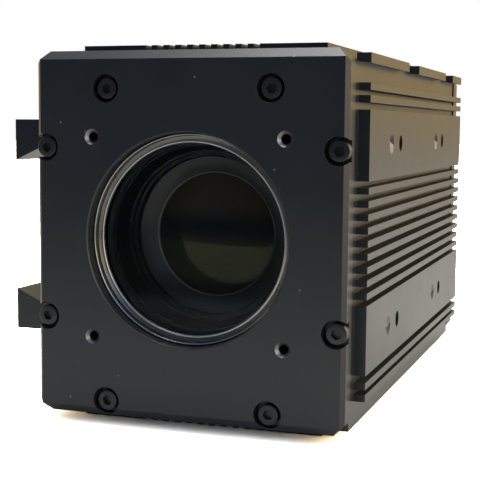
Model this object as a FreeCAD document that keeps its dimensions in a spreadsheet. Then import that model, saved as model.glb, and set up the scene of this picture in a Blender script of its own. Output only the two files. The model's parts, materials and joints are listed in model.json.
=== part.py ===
import FreeCAD, Part
import math
import os
import re

import Sketcher

# A daylight camera in a finned housing, built as a parametric assembly in millimetres. In every
# body's own frame X runs to the right, Y runs back from the front plate's face along the lens axis
# and Z is up from the lens axis. One common placement then puts the origin at the middle of the
# lands that the housing stands on.

V = FreeCAD.Vector

SIZES = [
    ("plate_width", 85.7, "front plate and rear cover, across"),
    ("plate_height", 97.4, "front plate and rear cover, tall"),
    ("plate_rise", 0.5, "middle of the plates above the lens axis"),
    ("plate_thickness", 6.5, "front plate"),
    ("cover_thickness", 8.5, "rear cover"),
    ("plate_corner", 3.2, "corner cut of the plates"),
    ("edge_top", 2.3, "front chamfer along the top and bottom edges"),
    ("edge_side", 1.15, "front chamfer along the side edges"),
    ("core_inset", 0.45, "housing's sides inside the plates' sides"),
    ("core_step", 0.8, "housing's half height less than the plates'"),
    ("core_corner", 1.6, "corner cut of the housing"),
    ("fin_side", 3.15, "how far the side fins stand out"),
    ("fin_top", 3.2, "how far the top and bottom fins stand out"),
    ("fin_root", 1.0, "how far a fin is rooted in the housing"),
    ("fin_start", 11.4, "front ends of the fins behind the plate's face"),
    ("housing_end", 164.3, "rear end of the housing"),
    ("fin_pitch", 3.39, "spacing of the fine fins"),
    ("fin_width", 1.75, "one fine fin"),
    ("fin_count", 9, "fine fins on each face"),
    ("land_inner", 16.0, "inner edge of a wide land from the middle"),
    ("land_drop", 13.7, "outer edge of a side land below the housing's top"),
    ("land_inset", 8.2, "outer edge of a top land inside the housing's side"),
    ("outer_fin_gap", 1.8, "first outer fin from its land"),
    ("outer_fin_width", 1.85, "one outer fin"),
    ("outer_fin_pitch", 3.15, "spacing of the two outer fins"),
    ("lip_rise", 0.6, "top of the corner lips above the housing"),
    ("lip_height", 2.6, "outer face of a corner lip"),
    ("lip_root", 0.6, "how far a corner lip reaches over the housing"),
    ("lip_length", 50.5, "first corner lip, along the housing"),
    ("lip_spacing", 66.3, "spacing of the corner lips"),
    ("wall_side", 6.4, "side walls of the housing"),
    ("wall_top", 12.4, "top wall"),
    ("wall_bottom", 8.4, "bottom wall"),
    ("seal_gap", 0.4, "land between the cavity and its seal groove"),
    ("seal_width", 1.9, "seal cord, across"),
    ("seal_depth", 1.2, "seal groove"),
    ("screw_column", 22.65, "top and bottom plate screws from the middle"),
    ("screw_drop", 8.6, "top plate screws below the housing's top"),
    ("screw_lift", 4.0, "bottom plate screws above the housing's bottom"),
    ("screw_inset", 2.1, "side plate screws inside the housing's side"),
    ("screw_side_high", 23.8, "upper side screws above the axis"),
    ("screw_side_low", 21.8, "lower side screws below the axis"),
    ("bore_head", 3.73, "counterbore radius"),
    ("bore_depth", 3.8, "counterbore"),
    ("bore_screw", 1.7, "clearance hole radius of a 3 mm screw"),
    ("bore_tapped", 1.25, "tapping hole radius of a 3 mm screw"),
    ("tapped_depth", 9.0, "tapped hole"),
    ("head_radius", 2.75, "socket head of a 3 mm screw"),
    ("head_height", 3.0, "socket head"),
    ("shank_radius", 1.2, "shank inside the tapping hole"),
    ("shank_length", 10.0, "screw below its head"),
    ("socket_flats", 2.5, "hexagon socket, across flats"),
    ("socket_depth", 1.4, "hexagon socket"),
    ("accessory_square", 53.2, "square of the four tapped holes in the front"),
    ("accessory_sink", 0.85, "countersink of those holes"),
    ("opening_radius", 28.0, "opening in the front plate"),
    ("opening_edge", 0.35, "broken edge of the opening"),
    ("spigot_radius", 32.0, "ring behind the front plate"),
    ("shelf_start", 9.4, "shelf that the window's seal lies on"),
    ("shelf_end", 11.4, "rear face of the front plate's ring"),
    ("shelf_radius", 24.9, "bore of the shelf"),
    ("thread_play", 0.05, "play of the rings in the opening"),
    ("ring_front", 3.4, "front face of the window's retaining ring"),
    ("ring_inner", 27.3, "bore of the retaining ring"),
    ("ring_edge", 0.3, "chamfer of the retaining ring"),
    ("bezel_start", 4.1, "front edge of the bright bezel ring"),
    ("bezel_inner", 25.3, "bore of the bezel ring"),
    ("bezel_bevel", 0.9, "how far the bezel ring's face leans back"),
    ("bezel_end", 5.4, "where the bezel ring meets the window"),
    ("window_end", 8.4, "rear face of the window"),
    ("window_seal_step", 0.8, "window seal outside the shelf's bore"),
    ("window_seal_play", 0.4, "window seal inside the opening"),
    ("barrel_end", 46.0, "rear end of the front lens barrel"),
    ("barrel_radius", 27.0, "outside of the front lens barrel"),
    ("barrel_flange", 3.0, "flange of the lens barrel"),
    ("hood_radius", 24.5, "mouth of the barrel"),
    ("hood_step", 17.0, "end of the barrel's mouth"),
    ("hood_throat", 23.3, "narrow end of the barrel's mouth"),
    ("hood_ledge", 0.7, "ledge behind the mouth"),
    ("cell_start", 18.9, "front edge of the front lens cell"),
    ("cell_radius", 21.8, "cell of the front lens"),
    ("front_ring_start", 20.9, "front edge of the front lens ring"),
    ("front_ring_dish", 0.9, "dished face of the front lens ring"),
    ("front_ring_mouth", 18.9, "mouth of the front lens ring"),
    ("front_glass_radius", 16.8, "clear front lens inside its ring"),
    ("front_glass_edge", 23.7, "rim of the front lens"),
    ("front_glass_length", 10.0, "front lens behind its rim"),
    ("front_glass_sphere", 60.0, "curve of the front lens"),
    ("lens_screw_circle", 29.9, "circle of the lens barrel's screws"),
    ("lens_head_radius", 2.0, "head of a lens screw"),
    ("lens_head_height", 1.8, "head of a lens screw"),
    ("lens_shank_radius", 0.9, "shank of a lens screw"),
    ("lens_shank_length", 5.5, "lens screw below its head"),
    ("lens_socket_flats", 1.5, "hexagon socket of a lens screw"),
    ("lens_socket_depth", 0.9, "hexagon socket of a lens screw"),
    ("base_screw_inset", 9.0, "base screws inside the bulkheads' sides"),
    ("base_grip", 3.4, "threads of the base screws"),
    ("bulkhead_gap", 3.0, "lens bulkheads inside the housing's walls"),
    ("bulkhead_thickness", 5.0, "lens bulkheads"),
    ("base_gap", 2.5, "lens unit off the housing's bottom and top"),
    ("base_thickness", 4.0, "lens base"),
    ("guide_inset", 6.0, "guide rods inside the bulkheads' sides"),
    ("guide_radius", 2.5, "guide rod"),
    ("rod_seat", 3.0, "depth of the rods in the front bulkhead"),
    ("running_gap", 0.3, "running clearance"),
    ("lead_offset", 15.0, "lead screws beside the axis"),
    ("lead_rise", 8.0, "lead screws above the lens base"),
    ("lead_radius", 2.5, "lead screw"),
    ("cell_outer", 18.5, "moving lens cell outside"),
    ("cell_inner", 15.0, "moving lens"),
    ("carrier_length", 9.0, "moving carrier along the axis"),
    ("arm_half", 4.5, "half height of a carrier arm"),
    ("boss_radius", 5.0, "guide and nut bosses"),
    ("carrier_gap", 5.0, "room between a carrier at its end and a bulkhead"),
    ("group_gap", 4.0, "room between the two carriers at their closest"),
    ("zoom_travel", 22.0, "travel of the zoom carrier"),
    ("focus_travel", 12.0, "travel of the focus carrier"),
    ("moving_glass_curve", 45.0, "curve of the moving lenses"),
    ("moving_glass_length", 7.0, "moving lens at its middle"),
    ("motor_radius", 7.0, "stepping motor"),
    ("motor_length", 15.0, "stepping motor"),
    ("relay_radius", 14.0, "relay lens tube outside"),
    ("relay_bore", 12.0, "relay lens tube inside"),
    ("relay_length", 13.0, "relay lens tube behind its bulkhead"),
    ("relay_glass_length", 6.0, "relay lens"),
    ("iris_gap", 1.0, "iris ring behind the relay lens"),
    ("iris_thickness", 2.0, "iris ring"),
    ("sensor_board_gap", 17.4, "sensor board behind the rear bulkhead"),
    ("board_thickness", 1.6, "circuit boards"),
    ("sensor_board_width", 44.0, "sensor board across"),
    ("sensor_board_high", 25.0, "sensor board above the axis"),
    ("sensor_board_low", 15.0, "sensor board below the axis"),
    ("sensor_size", 17.0, "image sensor package"),
    ("sensor_thickness", 2.4, "image sensor package"),
    ("pillar_flats", 5.0, "board pillars, across flats"),
    ("pillar_edge", 4.0, "pillars from the edges of the boards"),
    ("board_gap", 4.0, "main and power boards inside the side walls"),
    ("board_room", 6.5, "main and power boards below the top wall"),
    ("power_gap", 8.0, "power board in front of the rear cover"),
    ("main_gap", 7.0, "main board in front of the power board"),
    ("chip_size", 22.0, "processor"),
    ("chip_thickness", 2.0, "processor"),
    ("module_length", 30.0, "power converter brick across"),
    ("module_width", 18.0, "power converter brick upright"),
    ("module_edge", 4.0, "power converter brick above its board's edge"),
    ("module_height", 5.5, "power converter brick off its board"),
    ("rail_gap", 36.4, "mouth of the side dovetail"),
    ("rail_rise", 1.6, "middle of the dovetail above the axis"),
    ("rail_height", 11.35, "front face of a rail"),
    ("rail_reach", 10.3, "rails outside the fins"),
    ("rail_undercut", 4.8, "undercut of the dovetail"),
    ("rail_end", 140.0, "rear ends of the rails"),
    ("side_hole_front", 38.8, "first side hole behind the plate's face"),
    ("side_hole_pair", 12.5, "second hole of a pair"),
    ("side_hole_spacing", 72.2, "spacing of the pairs"),
    ("side_hole_lift", 0.2, "side holes outside the middle of their land"),
    ("side_hole_radius", 1.65, "tapped side hole"),
    ("side_hole_sink", 1.15, "countersink of the tapped side hole"),
    ("pin_hole_radius", 2.3, "pin hole beside each tapped side hole"),
    ("side_hole_depth", 8.0, "side holes"),
    ("rail_bore_head", 3.05, "counterbore radius in a rail"),
    ("connector_side", 17.0, "connectors from the middle"),
    ("connector_drop", 14.0, "connectors below the axis"),
    ("connector_bore", 8.0, "hole for a connector"),
    ("connector_radius", 9.6, "connector shell"),
    ("connector_nut", 10.8, "connector nut across corners, half"),
    ("connector_flange", 2.6, "connector nut"),
    ("connector_length", 12.0, "connector behind the cover"),
    ("connector_mouth", 7.6, "mouth of the connector"),
    ("connector_recess", 8.0, "depth of the mouth"),
    ("insert_play", 0.8, "contact insert inside the mouth"),
    ("insert_thickness", 1.0, "contact insert"),
    ("pin_radius", 0.6, "contact pin"),
    ("pin_circle", 4.4, "circle of the contact pins"),
    ("pin_count", 5, "contact pins on the circle"),
]

CORE_HALF = "(plate_width / 2 - core_inset)"
CORE_TALL = "(plate_height / 2 - core_step)"
EDGE = f"({CORE_HALF} + fin_side)"
LIP_TOP = f"({CORE_TALL} + lip_rise)"
LAND_SIDE = f"({CORE_TALL} - land_drop)"
LAND_TOP = f"({CORE_HALF} - land_inset)"
CAVITY_HALF = f"({CORE_HALF} - wall_side)"
CAVITY_TOP = f"({CORE_TALL} - wall_top)"
CAVITY_BOTTOM = f"({CORE_TALL} - wall_bottom)"
SCREW_TOP = f"({CORE_TALL} - screw_drop)"
SCREW_BOTTOM = f"({CORE_TALL} - screw_lift)"
SCREW_SIDE = f"({CORE_HALF} - screw_inset)"
HOLE_HEIGHT = f"((land_inner + {LAND_SIDE}) / 2 + side_hole_lift)"
RAIL_OFFSET = "(rail_gap + rail_undercut + rail_height) / 2"
LENS_SCREW = "(lens_screw_circle * sqrt(0.5))"
BULKHEAD_HALF = f"({CAVITY_HALF} - bulkhead_gap)"
BULKHEAD_TOP = f"({CAVITY_TOP} - base_gap)"
BASE_TOP = f"({CAVITY_BOTTOM} - base_gap - base_thickness)"
BASE_SCREW = f"({BULKHEAD_HALF} - base_screw_inset)"
GUIDE = f"({BULKHEAD_HALF} - guide_inset)"
LEAD_DROP = f"({BASE_TOP} - lead_rise)"
BULKHEAD_START = "(barrel_end - bulkhead_thickness)"
ZOOM_START = "(barrel_end + carrier_gap)"
FOCUS_START = f"({ZOOM_START} + carrier_length + zoom_travel + group_gap)"
REAR_START = f"({FOCUS_START} + carrier_length + focus_travel + carrier_gap)"
REAR_END = f"({REAR_START} + bulkhead_thickness)"
BASE_ROWS = ["barrel_end - bulkhead_thickness / 2", f"{REAR_START} + bulkhead_thickness / 2"]
BOARD_SIDE = f"({CAVITY_HALF} - board_gap)"
BOARD_HALF = f"({CAVITY_TOP} - board_room)"
POWER_START = "(housing_end - power_gap - board_thickness)"
MAIN_START = f"({POWER_START} - main_gap - board_thickness)"
COVER_REAR = "(housing_end + cover_thickness)"

doc = FreeCAD.newDocument("daylight_camera")
sheet = doc.addObject("Spreadsheet::Sheet", "Sizes")
for row, (alias, number, meaning) in enumerate(SIZES, start=1):
    sheet.set(f"A{row}", meaning)
    sheet.set(f"B{row}", str(number))
    sheet.setAlias(f"B{row}", alias)
doc.recompute()
NAMES = {alias for alias, _, _ in SIZES}
nodes = []


def sized(text):
    """The expression with each size's name written as the sheet's cell."""
    return re.sub(r"[a-z][a-z_0-9]*", lambda m: ("Sizes." if m[0] in NAMES else "") + m[0], text)


def size(text):
    """The number that an expression comes to."""
    return float(sheet.evalExpression(sized(text)))


def place(item):
    """Gives a finished piece the common placement."""
    item.setExpression("Placement.Base.y", sized("-(fin_start + housing_end) / 2"))
    item.setExpression("Placement.Base.z", sized(f"{CORE_TALL} + fin_top"))
    return item


def node(item, label):
    """Names a finished piece and lists it for export."""
    item.Label = label
    nodes.append(item)
    return place(item)


def new_body(label):
    """A body whose label is the piece's name."""
    return node(doc.addObject("PartDesign::Body", "Body_" + label), label)


def plane_of(body, role):
    """One of the body's own origin planes."""
    return [item for item in body.Origin.OriginFeatures if item.Role == role][0]


def sketch(body, name, role="XZ_Plane", start="0", across="0", up="0"):
    """An empty sketch. On XZ it lies `start` behind the front face; on XY and YZ it is raised."""
    made = body.newObject("Sketcher::SketchObject", name)
    made.AttachmentSupport = (plane_of(body, role), [""])
    made.MapMode = "FlatFace"
    sign = "-" if role == "XZ_Plane" else ""
    made.setExpression("AttachmentOffset.Base.z", sized(f"{sign}({start})"))
    made.setExpression("AttachmentOffset.Base.x", sized(across))
    made.setExpression("AttachmentOffset.Base.y", sized(up))
    return made


def polygon(made, corners):
    """Adds a closed outline whose corners are bound to pairs of expressions."""
    first = made.GeometryCount
    count = len(corners)
    turn = 2 * math.pi / count
    guess = [V(math.cos(turn * i), math.sin(turn * i), 0) for i in range(count)]
    for i in range(count):
        made.addGeometry(Part.LineSegment(guess[i], guess[(i + 1) % count]), False)
    for i, (across, up) in enumerate(corners):
        made.addConstraint(Sketcher.Constraint("Coincident", first + i, 2, first + (i + 1) % count, 1))
        spot = made.addConstraint(Sketcher.Constraint("DistanceX", first + i, 1, guess[i].x))
        made.setExpression(f"Constraints[{spot}]", sized(across))
        spot = made.addConstraint(Sketcher.Constraint("DistanceY", first + i, 1, guess[i].y))
        made.setExpression(f"Constraints[{spot}]", sized(up))
    return made


def box(made, left, right, low, high):
    """Adds a rectangle between four expressions."""
    return polygon(made, [(left, low), (right, low), (right, high), (left, high)])


def circle(made, across, up, radius):
    """Adds a circle bound to a centre and a radius."""
    index = made.addGeometry(Part.Circle(V(1, 1, 0), V(0, 0, 1), 1.0), False)
    spot = made.addConstraint(Sketcher.Constraint("DistanceX", index, 3, 1.0))
    made.setExpression(f"Constraints[{spot}]", sized(across))
    spot = made.addConstraint(Sketcher.Constraint("DistanceY", index, 3, 1.0))
    made.setExpression(f"Constraints[{spot}]", sized(up))
    spot = made.addConstraint(Sketcher.Constraint("Radius", index, 1.0))
    made.setExpression(f"Constraints[{spot}]", sized(radius))
    return made


def pad(body, profile, length):
    """Raises a sketch on the XZ plane backwards along the lens axis."""
    made = body.newObject("PartDesign::Pad", profile.Name + "_pad")
    made.Profile = profile
    made.Reversed = True
    made.setExpression("Length", sized(length))
    return made


def pocket(body, profile, depth, reverse=False):
    """Cuts a sketch on the XZ plane backwards, or forwards when reversed."""
    made = body.newObject("PartDesign::Pocket", profile.Name + "_cut")
    made.Profile = profile
    made.Reversed = reverse
    made.setExpression("Length", sized(depth))
    return made


def turned(label, outline, across="0", up="0"):
    """A turned piece: radius and distance along the axis of each corner of its half section."""
    body = new_body(label)
    section = sketch(body, label + "_section", "XY_Plane", start=up, across=across)
    polygon(section, outline)
    spin = body.newObject("PartDesign::Revolution", label + "_turn")
    spin.Profile = section
    spin.ReferenceAxis = (section, ["V_Axis"])
    spin.Angle = 360
    return body


def tube(label, inner, outer, front, back, across="0", up="0"):
    """A plain ring between two radii."""
    return turned(label, [(inner, front), (outer, front), (outer, back), (inner, back)], across, up)


def rod(label, radius, front, back, across="0", up="0"):
    """A plain rod along the lens axis."""
    return tube(label, "0", radius, front, back, across, up)


def chamfer(body, made, edges, depth):
    """Breaks edges of the last feature, chosen by their position."""
    made_chamfer = body.newObject("PartDesign::Chamfer", made.Name + "_edge")
    made_chamfer.Base = (made, edges)
    made_chamfer.setExpression("Size", sized(depth))
    return made_chamfer


def edges_where(made, test):
    """Names of the edges whose every point passes the test."""
    doc.recompute()
    names = []
    for index, edge in enumerate(made.Shape.Edges, start=1):
        points = edge.discretize(5)
        if all(test(point) for point in points):
            names.append(f"Edge{index}")
    return names


def near(value, target):
    """Whether two lengths agree."""
    return abs(value - target) < 1e-4


def mirrored_pairs(across, up):
    """The four sign combinations of a pair of expressions."""
    return [(f"{x}({across})", f"{z}({up})") for x in ("", "-") for z in ("", "-")]


PLATE_SCREWS = [(side + "screw_column", SCREW_TOP) for side in ("", "-")]
PLATE_SCREWS += [(side + "screw_column", "-" + SCREW_BOTTOM) for side in ("", "-")]
PLATE_SCREWS += [(side + SCREW_SIDE, "screw_side_high") for side in ("", "-")]
PLATE_SCREWS += [(side + SCREW_SIDE, "-screw_side_low") for side in ("", "-")]
RAIL_SCREWS = [f"rail_rise {sign} {RAIL_OFFSET}" for sign in ("+", "-")]


def plate_outline(made):
    """The rectangle with cut corners that both end plates share."""
    half = "plate_width / 2"
    top = "plate_rise + plate_height / 2"
    low = "plate_rise - plate_height / 2"
    cut = "plate_corner"
    return polygon(made, [
        (f"{half} - {cut}", low), (half, f"{low} + {cut}"), (half, f"{top} - {cut}"),
        (f"{half} - {cut}", top), (f"-{half} + {cut}", top), (f"-{half}", f"{top} - {cut}"),
        (f"-{half}", f"{low} + {cut}"), (f"-{half} + {cut}", low)])


def plate_edges(body, made, face):
    """Chamfers the outer edges of a plate on the face at one depth."""
    top = size("plate_rise") + size("plate_height") / 2
    low = size("plate_rise") - size("plate_height") / 2
    side = size("plate_width") / 2
    flat = edges_where(made, lambda p: near(p.y, face) and (near(p.z, top) or near(p.z, low)))
    made = chamfer(body, made, flat, "edge_top")
    upright = edges_where(made, lambda p: near(p.y, face) and near(abs(p.x), side))
    return chamfer(body, made, upright, "edge_side")


def front_plate():
    """The thick front plate with its opening, counterbores and accessory holes."""
    body = new_body("front_plate")
    made = pad(body, plate_outline(sketch(body, "plate_outline")), "plate_thickness")
    made = plate_edges(body, made, 0.0)
    ring = circle(sketch(body, "spigot", start="plate_thickness"), "0", "0", "spigot_radius")
    pad(body, ring, "shelf_end - plate_thickness")
    pocket(body, circle(sketch(body, "opening"), "0", "0", "opening_radius"), "shelf_start")
    made = pocket(body, circle(sketch(body, "shelf"), "0", "0", "shelf_radius"), "shelf_end")
    rim = edges_where(made, lambda p: near(p.y, 0) and near(math.hypot(p.x, p.z), size("opening_radius")))
    chamfer(body, made, rim, "opening_edge")
    heads = sketch(body, "counterbores")
    holes = sketch(body, "clearance_holes")
    for across, up in PLATE_SCREWS:
        circle(heads, across, up, "bore_head")
        circle(holes, across, up, "bore_screw")
    pocket(body, heads, "bore_depth")
    pocket(body, holes, "plate_thickness")
    tapped = sketch(body, "accessory_holes")
    for across, up in mirrored_pairs("accessory_square / 2", "accessory_square / 2"):
        circle(tapped, across, up, "bore_tapped")
    made = pocket(body, tapped, "plate_thickness")
    half = size("accessory_square") / 2
    radius = size("bore_tapped")
    rims = edges_where(made, lambda p: near(p.y, 0) and near(
        math.hypot(abs(p.x) - half, abs(p.z) - half), radius))
    chamfer(body, made, rims, "accessory_sink")
    threads = lens_screw_circles(sketch(body, "barrel_threads", start="shelf_end"), "lens_shank_radius")
    pocket(body, threads, "lens_shank_length - barrel_flange", reverse=True)


def lens_screw_circles(made, radius):
    """Four circles at 45 degrees on the lens screws' circle."""
    for across, up in mirrored_pairs(LENS_SCREW, LENS_SCREW):
        circle(made, across, up, radius)
    return made


def fins(made, inner, width, upright):
    """Adds one rectangle to each of two opposite faces of the housing."""
    half = CORE_HALF if upright else CORE_TALL
    tip = f"{half} + " + ("fin_side" if upright else "fin_top")
    for sign in ("", "-"):
        low, high = f"{sign}({half} - fin_root)", f"{sign}({tip})"
        if upright:
            box(made, low, high, inner, f"{inner} + {width}")
        else:
            box(made, inner, f"{inner} + {width}", low, high)


def housing():
    """The finned extrusion: core, lands, fine fins, corner lips, cavity, seal grooves and holes."""
    body = new_body("housing")
    half = CORE_HALF
    tall = CORE_TALL
    cut = "core_corner"
    core = polygon(sketch(body, "core", start="plate_thickness"), [
        (half, f"-{tall}"), (half, f"{tall} - {cut}"), (f"{half} - {cut}", tall),
        (f"-{half} + {cut}", tall), (f"-{half}", f"{tall} - {cut}"), (f"-{half}", f"-{tall}")])
    pad(body, core, "housing_end - plate_thickness")
    run = "housing_end - fin_start"
    for upright in (True, False):
        name = "side" if upright else "top"
        land = LAND_SIDE if upright else LAND_TOP
        wide = sketch(body, name + "_lands", start="fin_start")
        fins(wide, "land_inner", f"{land} - land_inner", upright)
        fins(wide, "-" + land, f"{land} - land_inner", upright)
        pad(body, wide, run)
        fine = sketch(body, name + "_fins", start="fin_start")
        for index in range(int(size("fin_count"))):
            fins(fine, f"{index} * fin_pitch - (fin_count - 1) * fin_pitch / 2 - fin_width / 2",
                 "fin_width", upright)
        pad(body, fine, run)
    outer = sketch(body, "outer_fins", start="fin_start")
    for index in range(2):
        start = f"({LAND_SIDE} + outer_fin_gap + {index} * outer_fin_pitch)"
        fins(outer, start, "outer_fin_width", True)
        fins(outer, f"-{start} - outer_fin_width", "outer_fin_width", True)
    pad(body, outer, run)
    for index in range(3):
        lips = sketch(body, f"lips_{index + 1}", start=f"fin_start + {index} * lip_spacing")
        for side in ("", "-"):
            root = f"{side}({half} - lip_root)"
            polygon(lips, [(root, f"{tall} - {cut}"), (root, LIP_TOP), (side + EDGE, LIP_TOP),
                           (side + EDGE, f"{LIP_TOP} - lip_height")])
        full = "lip_length" if index < 2 else f"housing_end - fin_start - {index} * lip_spacing"
        pad(body, lips, full)
    inside = box(sketch(body, "cavity", start="plate_thickness"), "-" + CAVITY_HALF, CAVITY_HALF,
                 "-" + CAVITY_BOTTOM, CAVITY_TOP)
    pocket(body, inside, "housing_end - plate_thickness")
    for end, start in (("front", "plate_thickness"), ("rear", "housing_end - seal_depth")):
        groove = sketch(body, end + "_seal_groove", start=start)
        seal_outline(groove, "0")
        pocket(body, groove, "seal_depth")
    for end, start in (("front", "plate_thickness"), ("rear", "housing_end")):
        tapped = sketch(body, end + "_tapped", start=start)
        for across, up in PLATE_SCREWS:
            circle(tapped, across, up, "bore_tapped")
        pocket(body, tapped, "tapped_depth", reverse=end == "rear")
    heights = (HOLE_HEIGHT, "-" + HOLE_HEIGHT)
    made = side_holes(body, "tapped_holes", EDGE, "side_hole_front", heights, "side_hole_radius")
    reach = size(EDGE)
    rims = edges_where(made, lambda p: near(p.x, reach) and on_side_hole(p))
    chamfer(body, made, rims, "side_hole_sink")
    side_holes(body, "pin_holes", EDGE, "side_hole_front + side_hole_pair", heights, "pin_hole_radius")
    side_holes(body, "rail_threads", "-" + EDGE, "side_hole_front", RAIL_SCREWS, "bore_tapped")


def side_holes(body, name, face, first, heights, radius):
    """Cuts two pairs of holes into the lands of one side."""
    holes = sketch(body, name, "YZ_Plane", start=face)
    for index in range(2):
        for up in heights:
            circle(holes, f"{first} + {index} * side_hole_spacing", up, radius)
    return pocket(body, holes, "side_hole_depth", reverse=face.startswith("-"))


def on_side_hole(point):
    """Whether a point lies on the rim of a tapped side hole."""
    for index in range(2):
        along = point.y - size("side_hole_front") - index * size("side_hole_spacing")
        if near(math.hypot(along, abs(point.z) - size(HOLE_HEIGHT)), size("side_hole_radius")):
            return True
    return False


def seal_outline(made, play):
    """The rectangular path of an end seal, as an outer and an inner rectangle."""
    inner = f"seal_gap + {play}"
    outer = f"seal_gap + seal_width - {play}"
    for grow in (inner, outer):
        box(made, f"-{CAVITY_HALF} - ({grow})", f"{CAVITY_HALF} + {grow}",
            f"-{CAVITY_BOTTOM} - ({grow})", f"{CAVITY_TOP} + {grow}")


def seals():
    """The two rubber frames between the housing and its end plates."""
    for label, start in (("front_seal", "plate_thickness"), ("rear_seal", "housing_end - seal_depth")):
        body = new_body(label)
        ring = sketch(body, label + "_ring", start=start)
        seal_outline(ring, "running_gap / 2")
        pad(body, ring, "seal_depth")


def rear_cover():
    """The rear cover, screwed on from behind, with two connector holes."""
    body = new_body("rear_cover")
    made = pad(body, plate_outline(sketch(body, "cover_outline", start="housing_end")), "cover_thickness")
    plate_edges(body, made, size(COVER_REAR))
    heads = sketch(body, "cover_counterbores", start=COVER_REAR)
    holes = sketch(body, "cover_holes", start="housing_end")
    for across, up in PLATE_SCREWS:
        circle(heads, across, up, "bore_head")
        circle(holes, across, up, "bore_screw")
    pocket(body, heads, "bore_depth", reverse=True)
    pocket(body, holes, "cover_thickness")
    sockets = sketch(body, "cover_connectors", start="housing_end")
    for side in ("", "-"):
        circle(sockets, side + "connector_side", "-connector_drop", "connector_bore")
    pocket(body, sockets, "cover_thickness")


def hexagon(flats, length):
    """A hexagonal prism along Y from the origin."""
    corner = flats / math.sqrt(3)
    turns = [math.radians(60 * index) for index in range(7)]
    points = [V(corner * math.cos(turn), 0, corner * math.sin(turn)) for turn in turns]
    return Part.Face(Part.makePolygon(points)).extrude(V(0, length, 0))


def socket_screw(head_radius, head_height, shank_radius, shank_length, flats, depth):
    """One socket head screw along Y, its head's face at the origin."""
    head = Part.makeCylinder(head_radius, head_height, V(0, 0, 0), V(0, 1, 0))
    shank = Part.makeCylinder(shank_radius, shank_length, V(0, head_height, 0), V(0, 1, 0))
    return head.fuse(shank).cut(hexagon(flats, depth))


def screws(label, screw, spots):
    """A group of separate equal screws, each at a point and turned about an axis."""
    item = doc.addObject("Part::Feature", "Screws_" + label)
    solids = []
    for spot, axis, angle in spots:
        solid = screw.copy()
        solid.rotate(V(0, 0, 0), axis, angle)
        solid.translate(spot)
        solids.append(solid)
    item.Shape = Part.makeCompound(solids)
    return node(item, label)


def fasteners():
    """The screws of the end plates, the rails and the lens."""
    cap_screw = socket_screw(size("head_radius"), size("head_height"), size("shank_radius"),
                             size("shank_length"), size("socket_flats"), size("socket_depth"))
    upright = V(0, 0, 1)
    seat = size("bore_depth - head_height")
    spots = [(size(across), size(up)) for across, up in PLATE_SCREWS]
    group = [(V(x, seat, z), upright, 0) for x, z in spots]
    group += [(V(x, size(COVER_REAR) - seat, z), upright, 180) for x, z in spots]
    out = seat - size(f"{EDGE} + rail_reach")
    for along in ("side_hole_front", "side_hole_front + side_hole_spacing"):
        group += [(V(out, size(along), size(up)), upright, -90) for up in RAIL_SCREWS]
    screws("cap_screws", cap_screw, group)
    lens_screw = socket_screw(size("lens_head_radius"), size("lens_head_height"), size("lens_shank_radius"),
                              size("lens_shank_length"), size("lens_socket_flats"), size("lens_socket_depth"))
    behind = size("shelf_end + barrel_flange + lens_head_height")
    ring = mirrored_pairs(LENS_SCREW, LENS_SCREW)
    spots = [(V(size(across), behind, size(up)), upright, 180) for across, up in ring]
    level = -size(f"{BASE_TOP} + base_thickness")
    for along in BASE_ROWS:
        spots += [(V(size(side + BASE_SCREW), size(along), level), V(1, 0, 0), 90) for side in ("", "-")]
    screws("lens_screws", lens_screw, spots)


def rails():
    """The two side rails that form a dovetail slot."""
    land = "-" + EDGE
    face = f"-{EDGE} - rail_reach"
    for label, sign in (("upper_dovetail_rail", ""), ("lower_dovetail_rail", "-")):
        body = new_body(label)
        mouth = f"rail_rise + {sign}(rail_gap / 2)"
        root = f"rail_rise + {sign}(rail_gap / 2 + rail_undercut)"
        back = f"rail_rise + {sign}(rail_gap / 2 + rail_height)"
        section = polygon(sketch(body, label + "_section", start="fin_start"),
                          [(land, root), (land, back), (face, back), (face, mouth)])
        pad(body, section, "rail_end - fin_start")
        up = RAIL_SCREWS[0] if sign == "" else RAIL_SCREWS[1]
        bores = (("heads", "rail_bore_head", "bore_depth"), ("holes", "bore_screw", "rail_reach"))
        for kind, radius, depth in bores:
            holes = sketch(body, f"{label}_{kind}", "YZ_Plane", start=face)
            for index in range(2):
                circle(holes, f"side_hole_front + {index} * side_hole_spacing", up, radius)
            pocket(body, holes, depth, reverse=True)


def window():
    """The protective window with its seal, bezel ring and retaining ring."""
    wall = "opening_radius - thread_play"
    turned("window_retaining_ring", [
        ("ring_inner", "ring_front"), (f"{wall} - ring_edge", "ring_front"), (wall, "ring_front + ring_edge"),
        (wall, "bezel_end"), ("ring_inner", "bezel_end")])
    rim = "ring_inner - 2 * thread_play"
    turned("window_bezel_ring", [
        ("bezel_inner", "bezel_start"), (rim, "bezel_start + bezel_bevel"), (rim, "bezel_end"),
        ("bezel_inner", "bezel_end")])
    rod("window_glass", wall, "bezel_end", "window_end")
    tube("window_seal", "shelf_radius + window_seal_step", "opening_radius - window_seal_play", "window_end",
         "shelf_start")


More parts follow.
